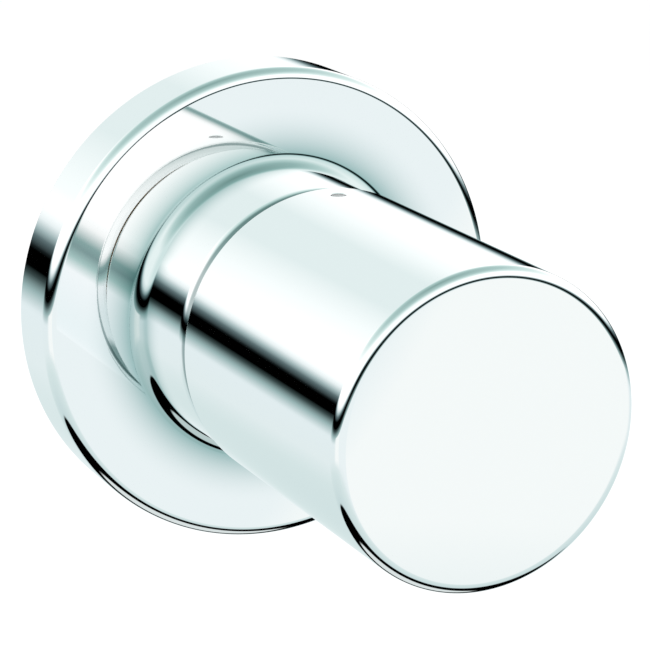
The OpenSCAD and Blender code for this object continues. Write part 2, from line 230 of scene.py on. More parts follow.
class SurfaceGraph(NodeGraph):
    """Node tree of a material: one Principled shader, and textures in object coordinates."""

    def __init__(self, tree: bpy.types.NodeTree, color: Color) -> None:
        """Empties the tree and adds the shader.

        Args:
            tree: The material's node tree.
            color: The shader's colour, until a texture takes its place.
        """
        super().__init__(tree)
        self.place = self.add("ShaderNodeTexCoord").outputs["Object"]
        self.shader = self.add("ShaderNodeBsdfPrincipled", {"Base Color": rgba(color)})
        self.add("ShaderNodeOutputMaterial", {"Surface": self.shader.outputs[0]})

    def give(self, name: str, value: object) -> None:
        """Gives one of the shader's inputs a value or a socket."""
        self.feed(self.shader.inputs[name], value)

    @cached_property
    def parts(self) -> tuple[Socket, ...]:
        """X, Y and Z of the place."""
        return tuple(self.add("ShaderNodeSeparateXYZ", {0: self.place}).outputs)

    @cached_property
    def radius(self) -> Socket:
        """Distance from the valve's axis."""
        x, _, z = self.parts
        square = self.math("ADD", self.math("MULTIPLY", x, x), self.math("MULTIPLY", z, z))
        return self.math("SQRT", square)

    @cached_property
    def h(self) -> Socket:
        """Distance from the wall."""
        return self.math("MULTIPLY", self.parts[1], -1.0)

    def noise(self, size: float, detail: float = 3.0) -> Socket:
        """Adds noise, with spots of about a size in metres, and returns its value."""
        inputs = {"Vector": self.place, "Scale": 1.0 / size, "Detail": detail}
        return self.add("ShaderNodeTexNoise", inputs).outputs["Fac"]

    def turning_marks(self, pitch: float) -> Socket:
        """Adds the fine rings that a lathe leaves, round the valve's axis on faces and walls alike.

        Args:
            pitch: Distance from ring to ring, in metres.

        Returns:
            The rings' height from 0 to 1.
        """
        along = self.math("SUBTRACT", self.radius, self.h)
        wave = self.math("SINE", self.math("MULTIPLY", along, 2.0 * math.pi / pitch))
        return self.spread(wave, (-1.0, 1.0))

    def bump(self, height: Socket, depth: float) -> None:
        """Links a height from 0 to 1 to the shader as bump, with its depth in metres."""
        inputs = {"Height": height, "Distance": depth, "Strength": 1.0}
        self.give("Normal", self.add("ShaderNodeBump", inputs).outputs["Normal"])


@dataclass(frozen=True)
class Finish:
    """Finish of a surface, made into a procedural material on its first use."""

    name: str
    color: Color

    def material(self) -> bpy.types.Material:
        """Finds the finish's material, or makes it.

        Returns:
            The material.
        """
        found = bpy.data.materials.get(self.name)
        if found is None:
            found = bpy.data.materials.new(self.name)
            found.use_nodes = True
            found.diffuse_color = rgba(self.color)
            self.dress(SurfaceGraph(found.node_tree, self.color))
        return found

    def dress(self, surface: SurfaceGraph) -> None:
        """Adds the finish's texture.

        Args:
            surface: The material's node graph.
        """
        raise NotImplementedError


@dataclass(frozen=True)
class PaintedShade:
    """Place on a turned shape where shade is painted into the plate's colour, darkening it by a tint."""

    tint: Color

    def share(self, surface: SurfaceGraph) -> Socket:
        """Works out how much of the tint a point takes.

        Args:
            surface: The material's node graph.

        Returns:
            The share, from 0 to 1.
        """
        raise NotImplementedError


@dataclass(frozen=True)
class PaintedFootShade(PaintedShade):
    """Painted shade in the inner corner at the neck's foot, darkest in the corner, fading over its reach
    and lighter in mid-cove.
    """

    corner: Span
    reach: Span
    cove_middle: Span
    cove_reach: Span
    cove_relief: float

    def share(self, surface: SurfaceGraph) -> Socket:
        """Works out the corner's share, less the relief in the cove.

        Args:
            surface: The material's node graph.

        Returns:
            The share, from 0 to 1.
        """
        # painted shade: strongest in the corner between the face and the neck, fading away from it
        across = surface.spread(surface.radius, (self.corner[0], self.corner[0] + self.reach[0]), FADING)
        along = surface.spread(surface.h, (self.corner[1], self.corner[1] + self.reach[1]), FADING)
        share = surface.math("POWER", surface.math("MINIMUM", across, along), 2.0)
        squares = (surface.math("POWER", surface.math("SUBTRACT", place, middle), 2.0)
                   for place, middle in zip((surface.radius, surface.h), self.cove_middle))
        away = surface.math("SQRT", surface.math("ADD", *squares))
        relief = surface.spread(away, self.cove_reach, (1.0 - self.cove_relief, 1.0))
        return surface.math("MULTIPLY", share, relief)


@dataclass(frozen=True)
class PaintedBandShade(PaintedShade):
    """Painted shade on a band round the axis, between two radii and two distances from the wall."""

    r: Span
    h: Span
    fade: Span

    def share(self, surface: SurfaceGraph) -> Socket:
        """Works out the band's share, which fades at both of its ends.

        Args:
            surface: The material's node graph.

        Returns:
            The share, from 0 to 1.
        """
        # painted shade: darkens the colour inside the band, fading at both ends
        inside = surface.math("MULTIPLY", surface.math("GREATER_THAN", surface.radius, self.r[0]),
                              surface.math("LESS_THAN", surface.radius, self.r[1]))
        behind = surface.spread(surface.h, (self.h[0] - self.fade[0], self.h[0]))
        ahead = surface.spread(surface.h, (self.h[1], self.h[1] + self.fade[1]), FADING)
        return surface.math("MULTIPLY", inside, surface.math("MULTIPLY", behind, ahead))


@dataclass(frozen=True)
class ChromePlate(Finish):
    """Chrome plate, polished to a mirror or left satin where nobody looks."""

    plating: Plating = Plating.MIRROR
    roughness: Span = (0.018, 0.04)
    cloud: float = 6.0 * MM
    mark_pitch: float = 0.22 * MM
    mark_depth: float = 0.004 * MM
    painted_shades: tuple[PaintedShade, ...] = ()

    def dress(self, surface: SurfaceGraph) -> None:
        """Makes the plate metallic, with a faint variation of its polish, and darkens its colour where
        shade is painted.

        Args:
            surface: The material's node graph.
        """
        color = rgba(self.color)
        # painted shade: each one darkens the plate's colour by its tint, over its share
        for painted_shade in self.painted_shades:
            color = surface.mix(painted_shade.share(surface), color, rgba(painted_shade.tint), "MULTIPLY")
        surface.give("Base Color", color)
        surface.give("Metallic", 1.0)
        surface.give("Roughness", surface.spread(surface.noise(self.cloud), CLOUD_RANGE, self.roughness))
        if self.plating is Plating.SATIN:
            surface.bump(surface.turning_marks(self.mark_pitch), self.mark_depth)


@dataclass(frozen=True)
class TurnedMetal(Finish):
    """Bare metal as it leaves the lathe, with fine rings and slightly uneven colour."""

    tarnish: Color = (0.5, 0.36, 0.16)
    tarnish_cloud: float = 5.0 * MM
    tarnish_detail: float = 5.0
    tarnish_rise: Span = (0.45, 0.75)
    tarnish_share: float = 0.55
    roughness: Span = (0.22, 0.38)
    mark_pitch: float = 0.16 * MM
    mark_depth: float = 0.003 * MM

    def dress(self, surface: SurfaceGraph) -> None:
        """Adds clouds of tarnish, uneven roughness and turning marks.

        Args:
            surface: The material's node graph.
        """
        cloud = surface.noise(self.tarnish_cloud, self.tarnish_detail)
        tint = surface.spread(cloud, self.tarnish_rise, (0.0, self.tarnish_share))
        surface.give("Base Color", surface.mix(tint, rgba(self.color), rgba(self.tarnish)))
        surface.give("Metallic", 1.0)
        surface.give("Roughness", surface.spread(cloud, CLOUD_RANGE, self.roughness))
        surface.bump(surface.turning_marks(self.mark_pitch), self.mark_depth)


@dataclass(frozen=True)
class Moulded(Finish):
    """Moulded rubber or plastic, with a fine grain."""

    roughness: Span = (0.38, 0.5)
    grain: float = 0.35 * MM
    grain_depth: float = 0.004 * MM
    cloud: float = 4.0 * MM
    cloud_detail: float = 4.0
    cloud_shade: float = 0.9
    glow: float = 0.0
    glow_depth: float = 1.0 * MM

    def dress(self, surface: SurfaceGraph) -> None:
        """Adds grain, uneven gloss and a slight unevenness of colour.

        Args:
            surface: The material's node graph.
        """
        cloud = surface.noise(self.cloud, self.cloud_detail)
        darker = tuple(part * self.cloud_shade for part in self.color)
        surface.give("Base Color", surface.mix(cloud, rgba(self.color), rgba(darker)))
        surface.give("Roughness", surface.spread(cloud, CLOUD_RANGE, self.roughness))
        surface.give("Subsurface Weight", self.glow)
        surface.give("Subsurface Scale", self.glow_depth)
        surface.bump(surface.noise(self.grain), self.grain_depth)


@dataclass(frozen=True)
class Foam(Finish):
    """Closed-cell foam, with open cells where it was cut."""

    cell: float = 0.35 * MM
    cell_depth: float = 0.05 * MM
    cell_slope: Span = (0.1, 0.6)
    bottom_painted_shade: float = 0.35
    roughness: float = 0.9

    def dress(self, surface: SurfaceGraph) -> None:
        """Adds cells, with painted shade that darkens their bottoms.

        Args:
            surface: The material's node graph.
        """
        inputs = {"Vector": surface.place, "Scale": 1.0 / self.cell}
        cells = surface.add("ShaderNodeTexVoronoi", inputs).outputs["Distance"]
        height = surface.spread(cells, self.cell_slope)
        # painted shade: the colour at the cells' bottoms, darker where shade falls in them
        bottom = tuple(part * self.bottom_painted_shade for part in self.color)
        surface.give("Base Color", surface.mix(height, rgba(bottom), rgba(self.color)))
        surface.give("Roughness", self.roughness)
        surface.bump(height, self.cell_depth)


NECK_R = 19.5 * MM
FACE_H = 10.0 * MM
COVE = 2.0 * MM
NECK_FRONT = 25.0 * MM

# Painted shade: darkens the mirror chrome in the inner corner where the neck meets the face, lighter in
# mid-cove.
PAINTED_FOOT_SHADE = PaintedFootShade(
    tint=(0.42, 0.58, 0.57),
    corner=(NECK_R + COVE, FACE_H + 1.3 * MM),
    reach=(6.5 * MM, 5.2 * MM),
    cove_middle=(NECK_R + 0.6 * MM, FACE_H + 0.6 * MM),
    cove_reach=(0.3 * MM, 1.4 * MM),
    cove_relief=0.45,
)
# Painted shade: a dark band on the neck's front rounding, in the gap just before the handle's back edge.
PAINTED_GAP_SHADE = PaintedBandShade(
    tint=(0.40, 0.47, 0.47),
    r=(NECK_R - 0.5 * MM, NECK_R + 0.1 * MM),
    h=(NECK_FRONT - 1.3 * MM, NECK_FRONT - 0.92 * MM),
    fade=(0.3 * MM, 0.06 * MM),
)
# Mirror chrome, with both painted shades in its colour.
CHROME = ChromePlate("chrome_mirror", (0.94, 0.95, 0.95), painted_shades=(PAINTED_FOOT_SHADE, PAINTED_GAP_SHADE))
CHROME_SATIN = ChromePlate("chrome_satin", (0.72, 0.73, 0.73), Plating.SATIN, roughness=(0.26, 0.36))
PLATED = (CHROME, CHROME_SATIN)
BRASS = TurnedMetal("brass_turned", (0.82, 0.62, 0.3))
STEEL = TurnedMetal("steel_turned", (0.62, 0.62, 0.63), tarnish=(0.45, 0.45, 0.46), roughness=(0.24, 0.34))
RUBBER = Moulded("rubber_black", (0.022, 0.022, 0.023), roughness=(0.42, 0.6), grain=0.2 * MM,
                 grain_depth=0.006 * MM, cloud_shade=0.7)
ACETAL = Moulded("acetal_white", (0.83, 0.82, 0.77), glow=0.15)
PLUG_GREY = Moulded("plug_grey", (0.3, 0.32, 0.32), roughness=(0.35, 0.5), grain=0.12 * MM)
FOAM = Foam("foam_grey", (0.17, 0.18, 0.19))


@dataclass(frozen=True)
class Corner:
    """Corner of a turned profile, with its rounding and the side that the stretch after it is on."""

    r: float
    h: float
    rounding: float = 0.0
    side: Side = Side.SEEN


def satin(r: float, h: float, rounding: float = 0.0) -> Corner:
    """Returns a corner whose following stretch is hidden, and left satin."""
    return Corner(r, h, rounding, Side.HIDDEN)


@dataclass(frozen=True)
class Step:
    """Piece of a profile between two points, with the outward normal at each."""

    start: Span
    end: Span
    start_normal: Span
    end_normal: Span
    side: Side


@dataclass(frozen=True)
class Axis:
    """Axis that a piece is turned about, with two directions square to it."""

    origin: Vector
    along: Vector
    across: Vector
    up: Vector

    def point(self, r: float, h: float, turn: float) -> Vector:
        """Returns the point at a radius, a distance along the axis and an angle."""
        return self.origin + self.along * h + self.radial(turn) * r

    def radial(self, turn: float) -> Vector:
        """Returns the direction away from the axis at an angle."""
        return self.across * math.cos(turn) + self.up * math.sin(turn)

    def normal(self, pair: Span, turn: float) -> Vector:
        """Returns a profile's normal in the frame, at an angle."""
        return self.radial(turn) * pair[0] + self.along * pair[1]


TRIM_AXIS = Axis(Vector((0, 0, 0)), Vector((0, -1, 0)), Vector((1, 0, 0)), Vector((0, 0, 1)))


class Draft:
    """Mesh in the making, with an exact normal at each corner of each face."""

    def __init__(self) -> None:
        """Starts with no points and no faces."""
        self.points: list[Vector] = []
        self.faces: list[list[int]] = []
        self.normals: list[Vector] = []
        self.slots: list[int] = []

    def point(self, place: Vector) -> int:
        """Adds a point and returns its number."""
        self.points.append(place)
        return len(self.points) - 1

    def face(self, corners: Sequence[tuple[int, Vector]], side: Side = Side.SEEN) -> None:
        """Adds a face that looks the way its normals do.

        Args:
            corners: The face's points, in either order round it, with the normal at each.
            side: The side that its finish is for.
        """
        kept = [c for i, c in enumerate(corners) if c[0] != corners[i - 1][0]]
        a, b, c = (self.points[kept[i][0]] for i in (0, 1, 2))
        facing = (b - a).cross(c - a)
        if facing.dot(kept[0][1] + kept[1][1] + kept[2][1]) < 0:
            kept.reverse()
        self.faces.append([number for number, _ in kept])
        self.normals.extend(normal for _, normal in kept)
        self.slots.append(int(side))

    def piece(self, name: str, finishes: Sequence[Finish]) -> bpy.types.Object:
        """Makes the draft an object.

        Args:
            name: The object's name.
            finishes: Finishes for its material slots.

        Returns:
            The new object.
        """
        mesh = bpy.data.meshes.new(name)
        mesh.from_pydata(self.points, [], self.faces)
        for finish in finishes:
            mesh.materials.append(finish.material())
        mesh.polygons.foreach_set("material_index", self.slots)
        mesh.polygons.foreach_set("use_smooth", [True] * len(self.faces))
        mesh.normals_split_custom_set([normal.normalized() for normal in self.normals])
        return linked(name, mesh)


@dataclass
class Turning:
    """Piece turned from a profile, whose solid lies to the left of its corners' order."""

    corners: Sequence[Corner]
    closed: bool
    axis: Axis = TRIM_AXIS
    sides: int = 288
    arc_steps: int = 14

    def __post_init__(self) -> None:
        """Works out the profile's steps and puts its points on the draft."""
        self.steps = self._steps()
        self.draft = Draft()
        rows = [step.start for step in self.steps]
        if not self.closed:
            rows.append(self.steps[-1].end)
        self.rows = [self._ring(*row) for row in rows]

    def turn(self, side: int) -> float:
        """Returns the angle of a numbered side."""
        return 2.0 * math.pi * side / self.sides

    def _ring(self, r: float, h: float) -> list[int]:
        """Adds the points of one row, and returns their numbers, or one number repeated on the axis."""
        if r < TOUCH:
            return [self.draft.point(self.axis.point(0.0, h, 0.0))] * self.sides
        return [self.draft.point(self.axis.point(r, h, self.turn(side))) for side in range(self.sides)]

    def _steps(self) -> list[Step]:
        """Works out the profile's steps.

        Returns:
            Its straight stretches, and the short steps of its roundings, in order.
        """
        count = len(self.corners)
        arcs = [self._arc(i) for i in range(count)]
        steps: list[Step] = []
        for i in range(count if self.closed else count - 1):
            corner, arc, following = self.corners[i], arcs[i], arcs[(i + 1) % count]
            steps += [Step(a[0], b[0], a[1], b[1], corner.side) for a, b in zip(arc, arc[1:])]
            start, end = arc[-1][0], following[0][0]
            if math.dist(start, end) > TOUCH:
                normal = self._normal(start, end)
                steps.append(Step(start, end, normal, normal, corner.side))
        return steps

    def _arc(self, i: int) -> list[tuple[Span, Span]]:
        """Works out a corner's rounding.

        Args:
            i: The corner's number.

        Returns:
            The rounding's points, each with its normal, or the bare corner.
        """
        corner = self.corners[i]
        if corner.rounding == 0.0:
            return [((corner.r, corner.h), (0.0, 0.0))]
        before, after = self.corners[i - 1], self.corners[(i + 1) % len(self.corners)]
        first = self._normal((before.r, before.h), (corner.r, corner.h))
        last = self._normal((corner.r, corner.h), (after.r, after.h))
        bend = math.atan2(first[0] * last[1] - first[1] * last[0],
                          first[0] * last[0] + first[1] * last[1])
        side = math.copysign(1.0, bend)
        reach = corner.rounding / math.cos(bend / 2.0)
        middle = math.atan2(first[1], first[0]) + bend / 2.0
        centre = (corner.r - side * reach * math.cos(middle), corner.h - side * reach * math.sin(middle))
        points = []
        for k in range(self.arc_steps + 1):
            angle = math.atan2(first[1], first[0]) + bend * k / self.arc_steps
            normal = (math.cos(angle), math.sin(angle))
            points.append(((centre[0] + side * corner.rounding * normal[0],
                            centre[1] + side * corner.rounding * normal[1]), normal))
        return points

    @staticmethod
    def _normal(start: Span, end: Span) -> Span:
        """Returns the outward normal of a straight stretch, to the right of its direction."""
        length = math.dist(start, end)
        return ((end[1] - start[1]) / length, (start[0] - end[0]) / length)

    def build(self, gap: Iterable[tuple[int, int]] = ()) -> Draft:
        """Adds the faces to the draft.

        Args:
            gap: Rows and sides whose faces are left out.

        Returns:
            The draft.
        """
        left_out = set(gap)
        for k, step in enumerate(self.steps):
            near, far = self.rows[k], self.rows[(k + 1) % len(self.rows)]
            for side in range(self.sides):
                if (k, side) in left_out:
                    continue
                beside = (side + 1) % self.sides
                here, there = self.turn(side), self.turn(side + 1)
                self.draft.face([(near[side], self.axis.normal(step.start_normal, here)),
                                 (far[side], self.axis.normal(step.end_normal, here)),
                                 (far[beside], self.axis.normal(step.end_normal, there)),
                                 (near[beside], self.axis.normal(step.start_normal, there))], step.side)
        return self.draft


@dataclass(frozen=True)
class PieceMaker:
    """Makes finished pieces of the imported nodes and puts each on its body."""

    frame: dict
    body: Body

    def hand_over(self, piece: bpy.types.Object, node: str, slot: str) -> bpy.types.Object:
        """Puts a piece in a node's place.

        Args:
            piece: The finished piece.
            node: The node that it stands for.
            slot: The record's material slot; not used.

        Returns:
            The piece.
        """
        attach(piece, self.body.value)
        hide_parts(node)
        LOG.info("%s: %d faces, rides on %s", piece.name, len(piece.data.polygons), self.body.value)
        return piece

    def smooth(self, node: str, slot: str, finish: Finish, angle: float = 32.0) -> bpy.types.Object:
        """Makes a copy of a node with its triangles joined and its curved faces smooth.

        Args:
            node: The node to copy and replace.
            slot: The record's material slot.
            finish: The copy's finish.
            angle: Edges bent more than this, in degrees, stay sharp.

        Returns:
            The copy.
        """
        piece = self.joined_copy(node)
        piece.data.materials.append(finish.material())
        self.soften(piece.data, angle)
        return self.hand_over(piece, node, slot)

    def joined_copy(self, node: str) -> bpy.types.Object:
        """Copies a node and joins its loose triangles.

        Args:
            node: The node's name.

        Returns:
            The copy.
        """
        source = self.frame["nodes"][node].data
        mesh = bpy.data.meshes.new(f"{node}_finished")
        points = [vertex.co.copy() for vertex in source.vertices]
        mesh.from_pydata(points, [], [tuple(polygon.vertices) for polygon in source.polygons])
        shape = bmesh.new()
        shape.from_mesh(mesh)
        bmesh.ops.remove_doubles(shape, verts=shape.verts, dist=MERGE)
        shape.to_mesh(mesh)
        shape.free()
        return linked(mesh.name, mesh)

    @staticmethod
    def soften(mesh: bpy.types.Mesh, angle: float) -> None:
        """Shades a mesh smooth, apart from edges bent more than an angle in degrees."""
        mesh.polygons.foreach_set("use_smooth", [True] * len(mesh.polygons))
        mesh.set_sharp_from_angle(angle=math.radians(angle))


@dataclass
class EscutcheonSet:
    """What stays on the wall: the escutcheon with its neck, its seal, and the sleeve and bush behind it."""

    makes: PieceMaker
    edge_rounding: float = 1.5 * MM
    cove: float = COVE
    neck_rounding: float = 2.5 * MM
    rim_wall: float = 3.0 * MM
    face_wall: float = 2.0 * MM
    neck_r: float = NECK_R
    neck_wall: float = 1.9 * MM
    face_h: float = FACE_H
    web: float = 3.0 * MM
    web_bore_r: float = 12.25 * MM
    ring_groove: Span = (1.1 * MM, 1.6 * MM)
    seal_groove: Span = (30.9 * MM, 32.1 * MM)
    seal_depth: float = 1.2 * MM
    edge_break: float = 0.12 * MM
    web_rounding: float = 0.24 * MM
    rim_rounding: float = 0.48 * MM
    foot_inset: float = 0.02 * MM

    def build(self) -> None:
        """Makes the set's pieces."""
        self.rosette()
        self.neck()
        for node in ("sleeve_o_ring_rear", "sleeve_o_ring_front", "neck_o_ring"):
            self.makes.smooth(node, "black_rubber", RUBBER)
        self.makes.smooth("wall_seal", "grey_foam", FOAM).visible_glossy = False
        self.makes.smooth("guide_bush", "white_plastic", ACETAL)
        self.makes.smooth("fixing_sleeve", "brass", BRASS)

    def rosette(self) -> bpy.types.Object:
        """Makes the escutcheon's rim, face and cove, with a mirror finish in front and a satin one behind.

        The photographed neck and handle don't mirror this part of the escutcheon, so reflections leave
        it out.

        Returns:
            The piece.
        """
        rim_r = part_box("escutcheon")[1].x
        rim_inner_r = rim_r - self.rim_wall
        seal_in, seal_out = self.seal_groove
        corners = [
            Corner(rim_r, 0.0, self.edge_break),
            Corner(rim_r, self.face_h, self.edge_rounding),
            Corner(self.neck_r, self.face_h, self.cove),
            satin(self.neck_r, self.neck_start),
            satin(self.bore_r, self.neck_start),
            satin(self.bore_r, self.face_h - self.face_wall),
            satin(rim_inner_r, self.face_h - self.face_wall, self.rim_rounding),
            satin(rim_inner_r, 0.0, self.edge_break),
            satin(seal_in, 0.0),
            satin(seal_in, self.seal_depth),
            satin(seal_out, self.seal_depth),
            satin(seal_out, 0.0),
        ]
        piece = Turning(corners, closed=True).build().piece("escutcheon_finished", PLATED)
        piece.visible_glossy = False
        return self.makes.hand_over(piece, "escutcheon", "trim_chrome")

    def neck(self) -> bpy.types.Object:
        """Makes the escutcheon's neck, up to its web and the web's ring groove.

        Its foot reaches down inside the cove, so that the face mirrors it there and not what lies behind.

        Returns:
            The piece.
        """
        front = -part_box("escutcheon")[0].y
        web_back = front - self.web
        groove_depth, groove_w = self.ring_groove
        groove_front = front - (self.web - groove_w) / 2.0
        groove_r = self.web_bore_r + groove_depth
        corners = [
            Corner(self.neck_r - self.foot_inset, self.face_h),
            Corner(self.neck_r, self.neck_start),
            Corner(self.neck_r, front, self.neck_rounding),
            Corner(self.web_bore_r, front, self.edge_break),
            satin(self.web_bore_r, groove_front),
            satin(groove_r, groove_front),
            satin(groove_r, groove_front - groove_w),
            satin(self.web_bore_r, groove_front - groove_w),
            satin(self.web_bore_r, web_back),
            satin(self.bore_r, web_back, self.web_rounding),
            satin(self.bore_r, self.neck_start),
        ]
        piece = Turning(corners, closed=True).build().piece("neck_finished", PLATED)
        return self.makes.hand_over(piece, "escutcheon", "trim_chrome")

    @property
    def bore_r(self) -> float:
        """Radius of the neck's bore."""
        return self.neck_r - self.neck_wall

    @property
    def neck_start(self) -> float:
        """Distance from the wall at which the neck comes out of the cove."""
        return self.face_h + self.cove + self.edge_break


@dataclass
class HandleSet:
    """What the hand turns: the handle's shell and what it holds on the valve's spindle."""

    makes: PieceMaker
    front_rounding: float = 1.15 * MM
    front_blend: float = 2.2 * MM
    front_lean: float = 72.0
    back_rounding: float = 0.15 * MM
    wall: float = 1.5 * MM
    step: float = 0.5 * MM
    step_h: float = 41.05 * MM
    front_wall: float = 2.5 * MM
    cavity_rounding: float = 1.0 * MM
    access_r: float = 1.0 * MM
    access_edge: float = 0.1 * MM
    access_edge_steps: int = 4
    patch_sides: int = 8
    patch_rings: tuple[float, ...] = (0.45, 0.75, 1.0)
    plug_rounding: float = 0.14 * MM
    plug_sides: int = 48
    plug_arc_steps: int = 6
    fine_angle: float = 20.0

    def build(self) -> None:
        """Makes the set's pieces."""
        self.shell()
        self.plug()
        self.makes.smooth("spindle_extension", "brass", BRASS, self.fine_angle)
        self.makes.smooth("handle_insert", "brass", BRASS)
        self.makes.smooth("extension_o_ring", "black_rubber", RUBBER)
        for node in ("thrust_washer", "spline_adapter", "glide_ring"):
            self.makes.smooth(node, "white_plastic", ACETAL)
        for node in ("wave_washer", "extension_circlip", "spring_washer", "extension_screw", "grub_screw"):
            self.makes.smooth(node, "steel", STEEL)

    def shell(self) -> bpy.types.Object:
        """Makes the handle's shell, with the hole for the key at its top.

        Returns:
            The piece.
        """
        low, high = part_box("handle_shell")
        r, back, front = high.x, -high.y, -low.y
        bore_r = r - self.wall
        plug_low, plug_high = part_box("screw_hole_plug")
        hole_h = -(plug_low.y + plug_high.y) / 2.0
        cell = 2.0 * math.pi * r / Turning.sides
        half = cell * self.patch_sides / 2.0
        lines = [hole_h - half + cell * k for k in range(self.patch_sides + 1)]
        corners = [
            satin(0.0, front - self.front_wall),
            satin(bore_r - self.step, front - self.front_wall, self.cavity_rounding),
            satin(bore_r - self.step, self.step_h),
            satin(bore_r, self.step_h),
            *(satin(bore_r, line) for line in reversed(lines)),
            Corner(bore_r, back),
            Corner(r, back, self.back_rounding),
            *(Corner(r, line) for line in lines),
            *self._front_corners(r, front),
            Corner(0.0, front),
        ]
        turning = Turning(corners, closed=False)
        top = turning.sides // 4
        sides = range(top - self.patch_sides // 2, top + self.patch_sides // 2)
        outer = self._rows_at(turning, r, lines)
        inner = self._rows_at(turning, bore_r, lines)
        draft = turning.build((row, side) for row in (*outer, *inner) for side in sides)
        edge = self._patch(turning, outer, sides, hole_h, r, 1.0)
        bottom = self._patch(turning, inner, sides, hole_h, bore_r, -1.0)
        self._wall(draft, edge, bottom, hole_h)
        piece = draft.piece("handle_shell_finished", PLATED)
        return self.makes.hand_over(piece, "handle_shell", "trim_chrome")

    def _front_corners(self, r: float, front: float) -> list[Corner]:
        """Works out the front's rounding, which grows flatter towards the end face.

        Args:
            r: The handle's radius.
            front: The end face's distance from the wall.

        Returns:
            The rounding's two corners.
        """
        side, blend, lean = self.front_rounding, self.front_blend, math.radians(self.front_lean)
        start = front - (1.0 - math.sin(lean)) * blend - math.sin(lean) * side
        face_r = r - side - (blend - side) * math.cos(lean)
        return [Corner(r, start + side * math.tan(lean / 2.0), side),
                Corner(face_r + blend * math.tan((math.pi / 2.0 - lean) / 2.0), front, blend)]

    @staticmethod
    def _rows_at(turning: Turning, r: float, lines: Sequence[float]) -> list[int]:
        """Finds the steps of a wall that lie between the first and last of some lines.

        Args:
            turning: The turned shell.
            r: The wall's radius.
            lines: The lines' distances from the wall plane, in order.

        Returns:
            The steps' numbers, in order of h.
        """
        low, high = lines[0] - TOUCH, lines[-1] + TOUCH
        found = [k for k, step in enumerate(turning.steps)
                 if all(abs(end[0] - r) < TOUCH and low < end[1] < high for end in (step.start, step.end))]
        return sorted(found, key=lambda k: turning.steps[k].start[1])

    def _patch(self, turning: Turning, rows: Sequence[int], sides: range, hole_h: float,
               r: float, facing: float) -> list[tuple[int, float]]:
        """Fills the gap in a wall with a patch that has a round hole.

        Args:
            turning: The turned shell.
            rows: Steps of the wall that were left out.
            sides: Sides that were left out.
            hole_h: The hole's place along the axis.
            r: The wall's radius.
            facing: 1 for an outer wall and -1 for an inner one.

        Returns:
            The points round the hole, each with its angle.
        """
        draft, count = turning.draft, self.patch_sides
        near, far = (0, 1) if facing > 0 else (1, 0)
        upright = [turning.rows[rows[0] + near], *(turning.rows[row + far] for row in rows)]
        columns = [*sides, sides[-1] + 1]
        border = [upright[0][columns[k]] for k in range(count)]
        border += [upright[k][columns[-1]] for k in range(count)]
        border += [upright[-1][columns[-1 - k]] for k in range(count)]
        border += [upright[-1 - k][columns[0]] for k in range(count)]
        total = len(border)
        radius = self.access_r + (self.access_edge if facing > 0 else 0.0)
        side = Side.SEEN if facing > 0 else Side.HIDDEN
        rings = [border]
        first_corner = math.radians(225.0)
        angles = [first_corner + 2.0 * math.pi * k / total for k in range(total)]
        for share in self.patch_rings:
            ring = []
            for angle, number in zip(angles, border):
                place = draft.points[number]
                x = -radius * math.cos(angle) * share + place.x * (1.0 - share)
                y = -(hole_h + radius * math.sin(angle)) * share + place.y * (1.0 - share)
                ring.append(draft.point(Vector((x, y, math.sqrt(r * r - x * x)))))
            rings.append(ring)
        for outside, inside in zip(rings, rings[1:]):
            for k in range(total):
                after = (k + 1) % total
                face = (outside[k], outside[after], inside[after], inside[k])
                draft.face([(number, self._radial(draft.points[number]) * facing) for number in face], side)
        return list(zip(rings[-1], angles))

    @staticmethod
    def _radial(place: Vector) -> Vector:
        """Returns the direction away from the valve's axis at a place."""
        return Vector((place.x, 0.0, place.z)).normalized()

    def _wall(self, draft: Draft, edge: Sequence[tuple[int, float]],
              bottom: Sequence[tuple[int, float]], hole_h: float) -> None:
        """Adds the hole's rounded edge and its wall.

        Args:
            draft: The shell's draft.
            edge: Points round the hole's mouth, each with its angle.
            bottom: Points round the hole's inner end.
            hole_h: The hole's place along the axis.
        """
        rings = [[(number, self._radial(draft.points[number])) for number, _ in edge]]
        for k in range(1, self.access_edge_steps + 1):
            lean = math.pi / 2.0 * k / self.access_edge_steps
            radius = self.access_r + self.access_edge * (1.0 - math.sin(lean))
            drop = self.access_edge * (1.0 - math.cos(lean))
            ring = []
            for number, angle in edge:
                x, y = -radius * math.cos(angle), -(hole_h + radius * math.sin(angle))
                inwards = Vector((math.cos(angle), math.sin(angle), 0.0))
                normal = inwards * math.sin(lean) + self._radial(draft.points[number]) * math.cos(lean)
                ring.append((draft.point(Vector((x, y, draft.points[number].z - drop))), normal))
            rings.append(ring)
        inwards = [Vector((math.cos(angle), math.sin(angle), 0.0)) for _, angle in bottom]
        rings.append([(number, normal) for (number, _), normal in zip(bottom, inwards)])
        for outside, inside in zip(rings, rings[1:]):
            for k in range(len(outside)):
                after = (k + 1) % len(outside)
                draft.face([outside[k], outside[after], inside[after], inside[k]])

    def plug(self) -> bpy.types.Object:
        """Makes the plug of the hole at the handle's top.

        Returns:
            The piece.
        """
        low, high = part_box("screw_hole_plug")
        middle = (low + high) / 2.0
        r = (high.x - low.x) / 2.0
        foot = Vector((middle.x, middle.y, low.z))
        axis = Axis(foot, Vector((0, 0, 1)), Vector((1, 0, 0)), Vector((0, 1, 0)))
        top = high.z - low.z
        corners = [Corner(0.0, 0.0), Corner(r, 0.0), Corner(r, top, self.plug_rounding), Corner(0.0, top)]
        turning = Turning(corners, closed=False, axis=axis, sides=self.plug_sides,
                          arc_steps=self.plug_arc_steps)
        piece = turning.build().piece("screw_hole_plug_finished", (PLUG_GREY,))
        return self.makes.hand_over(piece, "screw_hole_plug", "grey_plastic")


